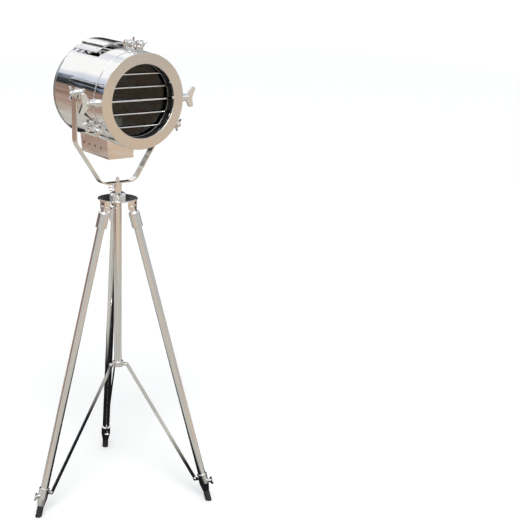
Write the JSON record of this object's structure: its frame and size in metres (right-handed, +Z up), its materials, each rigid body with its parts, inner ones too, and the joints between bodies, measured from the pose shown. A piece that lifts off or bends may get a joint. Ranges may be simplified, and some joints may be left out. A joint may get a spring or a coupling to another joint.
{
  "type": "tripod spotlight floor lamp",
  "caption": "Chromed searchlight floor lamp: a drum head with a glass front and grille tilts in a strap yoke on a folding, braced tripod.",
  "frame": {"origin": "on the floor under the middle of the lamp's plan", "axes": "+Z up, -Y the way the head faces, +X to the right as seen from the front"},
  "size_m": [0.556, 0.5994, 1.546],
  "materials": {
    "chrome": "polished",
    "steel": "brushed",
    "glass": "clear",
    "bulb_glass": "clear",
    "holder": "glazed",
    "black_plastic": "satin",
    "rubber": "matt"
  },
  "bodies": {
    "hub": {"hub_plate": "chrome", "hub_collar": "chrome", "hub_clevises": "chrome", "leg_hinge_bolts": "chrome"},
    "column": {"column_tube": "chrome", "column_foot_collar": "chrome"},
    "neck_thumb_screw": {"neck_knob": "chrome"},
    "yoke": {"yoke_strap": "chrome", "yoke_spigot": "chrome", "acorn_nut": "chrome"},
    "head": {"drum_shell": "chrome", "rear_cap": "chrome", "door_drum": "chrome", "front_ring": "chrome", "lens_glass": "glass", "lens_retainers": "steel", "grille_rods": "chrome", "axle_bosses": "chrome", "lamp_holder": "holder", "holder_bracket": "steel", "bulb": "bulb_glass", "vent_cap": "chrome", "head_screws": "chrome", "box_shell": "chrome", "box_lid": "chrome", "cable_gland": "black_plastic", "clamp_brackets": "chrome", "door_lugs": "chrome", "pivot_studs": "chrome"},
    "front_axle": {"centre_axle": "chrome", "fishtail_handles": "chrome"},
    "pivot_nut_left": {"pivot_wing_nut_left": "chrome"},
    "pivot_nut_right": {"pivot_wing_nut_right": "chrome"},
    "leg_1": {"leg_1_socket": "chrome", "leg_1_tube": "chrome", "leg_1_clamp": "chrome"},
    "brace_1": {"brace_1": "chrome"},
    "inner_leg_1": {"leg_1_inner_tube": "chrome", "leg_1_foot": "rubber"},
    "leg_screw_1": {"leg_1_wing_screw": "chrome"},
    "leg_2": {"leg_2_socket": "chrome", "leg_2_tube": "chrome", "leg_2_clamp": "chrome"},
    "brace_2": {"brace_2": "chrome"},
    "inner_leg_2": {"leg_2_inner_tube": "chrome", "leg_2_foot": "rubber"},
    "leg_screw_2": {"leg_2_wing_screw": "chrome"},
    "leg_3": {"leg_3_socket": "chrome", "leg_3_tube": "chrome", "leg_3_clamp": "chrome"},
    "brace_3": {"brace_3": "chrome"},
    "inner_leg_3": {"leg_3_inner_tube": "chrome", "leg_3_foot": "rubber"},
    "leg_screw_3": {"leg_3_wing_screw": "chrome"},
    "swing_bolt_1": {"swing_bolt_1": "chrome"},
    "clamp_nut_1": {"clamp_wing_nut_1": "chrome"},
    "swing_bolt_2": {"swing_bolt_2": "chrome"},
    "clamp_nut_2": {"clamp_wing_nut_2": "chrome"},
    "swing_bolt_3": {"swing_bolt_3": "chrome"},
    "clamp_nut_3": {"clamp_wing_nut_3": "chrome"}
  },
  "joints": [
    {"name": "leg_1_fold", "type": "hinge", "parent": "hub", "child": "leg_1", "pos_m": [0.08897, 0.03123, 0.999], "axis": [-0.9063, 0.4226, 0], "range_deg": [0, 15.6]},
    {"name": "leg_2_fold", "type": "hinge", "parent": "hub", "child": "leg_2", "pos_m": [0.01661, -0.01943, 0.999], "axis": [0.0872, -0.9962, 0], "range_deg": [0, 15.6]},
    {"name": "leg_3_fold", "type": "hinge", "parent": "hub", "child": "leg_3", "pos_m": [0.09667, -0.05677, 0.999], "axis": [0.8192, 0.5736, 0], "range_deg": [0, 15.6]},
    {"name": "column_rise", "type": "slide", "parent": "hub", "child": "column", "axis": [0, 0, 1], "range_m": [0, 0.04649]},
    {"name": "brace_1_swing", "type": "hinge", "parent": "column", "child": "brace_1", "pos_m": [0.08009, 0.0122, 0.455], "axis": [-0.9063, 0.4226, 0], "range_deg": [0, 34.05]},
    {"name": "brace_2_swing", "type": "hinge", "parent": "column", "child": "brace_2", "pos_m": [0.03753, -0.0176, 0.455], "axis": [0.0872, -0.9962, 0], "range_deg": [0, 34.05]},
    {"name": "brace_3_swing", "type": "hinge", "parent": "column", "child": "brace_3", "pos_m": [0.08462, -0.03956, 0.455], "axis": [0.8192, 0.5736, 0], "range_deg": [0, 34.05]},
    {"name": "neck_screw_turn", "type": "hinge", "parent": "column", "child": "neck_thumb_screw", "pos_m": [0.04836, -0.00399, 1.059], "axis": [-0.866, 0.5, 0], "continuous": true},
    {"name": "yoke_pan", "type": "hinge", "parent": "column", "child": "yoke", "pos_m": [0.06741, -0.01499, 1.072], "axis": [0, 0, 1], "continuous": true},
    {"name": "head_tilt", "type": "hinge", "parent": "yoke", "child": "head", "pos_m": [0.06741, -0.01499, 1.3723], "axis": [1, 0, 0], "range_deg": [-62.2, 15.8]},
    {"name": "front_axle_turn", "type": "hinge", "parent": "head", "child": "front_axle", "pos_m": [0.06741, -0.1339, 1.35472], "axis": [1, 0, 0], "continuous": true},
    {"name": "pivot_nut_left_turn", "type": "hinge", "parent": "head", "child": "pivot_nut_left", "pos_m": [-0.09859, -0.01499, 1.3723], "axis": [-1, 0, 0], "continuous": true},
    {"name": "pivot_nut_right_turn", "type": "hinge", "parent": "head", "child": "pivot_nut_right", "pos_m": [0.23341, -0.01499, 1.3723], "axis": [1, 0, 0], "continuous": true},
    {"name": "swing_bolt_1_open", "type": "hinge", "parent": "head", "child": "swing_bolt_1", "pos_m": [0.06741, -0.07701, 1.52803], "axis": [-1, 0, 0], "range_deg": [0, 95]},
    {"name": "clamp_nut_1_turn", "type": "hinge", "parent": "swing_bolt_1", "child": "clamp_nut_1", "pos_m": [0.06741, -0.14496, 1.52542], "axis": [0, -0.9993, -0.0384], "continuous": true},
    {"name": "swing_bolt_2_open", "type": "hinge", "parent": "head", "child": "swing_bolt_2", "pos_m": [-0.08068, -0.06717, 1.27172], "axis": [0.5, 0.0332, -0.8654], "range_deg": [0, 95]},
    {"name": "clamp_nut_2_turn", "type": "hinge", "parent": "swing_bolt_2", "child": "clamp_nut_2", "pos_m": [-0.08068, -0.13512, 1.26911], "axis": [0, -0.9993, -0.0384], "continuous": true},
    {"name": "swing_bolt_3_open", "type": "hinge", "parent": "head", "child": "swing_bolt_3", "pos_m": [0.2155, -0.06717, 1.27172], "axis": [0.5, -0.0332, 0.8654], "range_deg": [0, 95]},
    {"name": "clamp_nut_3_turn", "type": "hinge", "parent": "swing_bolt_3", "child": "clamp_nut_3", "pos_m": [0.2155, -0.13512, 1.26911], "axis": [0, -0.9993, -0.0384], "continuous": true},
    {"name": "inner_leg_1_slide", "type": "slide", "parent": "leg_1", "child": "inner_leg_1", "axis": [0.1137, 0.2438, -0.9631], "range_m": [0, 0.25]},
    {"name": "leg_screw_1_turn", "type": "hinge", "parent": "leg_1", "child": "leg_screw_1", "pos_m": [0.21122, 0.29341, 0.07472], "axis": [0.407, 0.8729, 0.269], "continuous": true},
    {"name": "inner_leg_2_slide", "type": "slide", "parent": "leg_2", "child": "inner_leg_2", "axis": [-0.268, -0.0234, -0.9631], "range_m": [0, 0.25]},
    {"name": "leg_screw_2_turn", "type": "hinge", "parent": "leg_2", "child": "leg_screw_2", "pos_m": [-0.27157, -0.04465, 0.07472], "axis": [-0.9595, -0.0839, 0.269], "continuous": true},
    {"name": "inner_leg_3_slide", "type": "slide", "parent": "leg_3", "child": "inner_leg_3", "axis": [0.1543, -0.2203, -0.9631], "range_m": [0, 0.25]},
    {"name": "leg_screw_3_turn", "type": "hinge", "parent": "leg_3", "child": "leg_screw_3", "pos_m": [0.26259, -0.29373, 0.07472], "axis": [0.5524, -0.789, 0.269], "continuous": true}
  ],
  "couplings": [
    {"joint": "leg_2_fold", "follows": "leg_1_fold", "ratio": 1},
    {"joint": "leg_3_fold", "follows": "leg_1_fold", "ratio": 1},
    {"joint": "column_rise", "follows": "leg_1_fold", "m_per_rad": 0.17035},
    {"joint": "brace_1_swing", "follows": "leg_1_fold", "ratio": 2.1812},
    {"joint": "brace_2_swing", "follows": "leg_1_fold", "ratio": 2.1812},
    {"joint": "brace_3_swing", "follows": "leg_1_fold", "ratio": 2.1812}
  ]
}
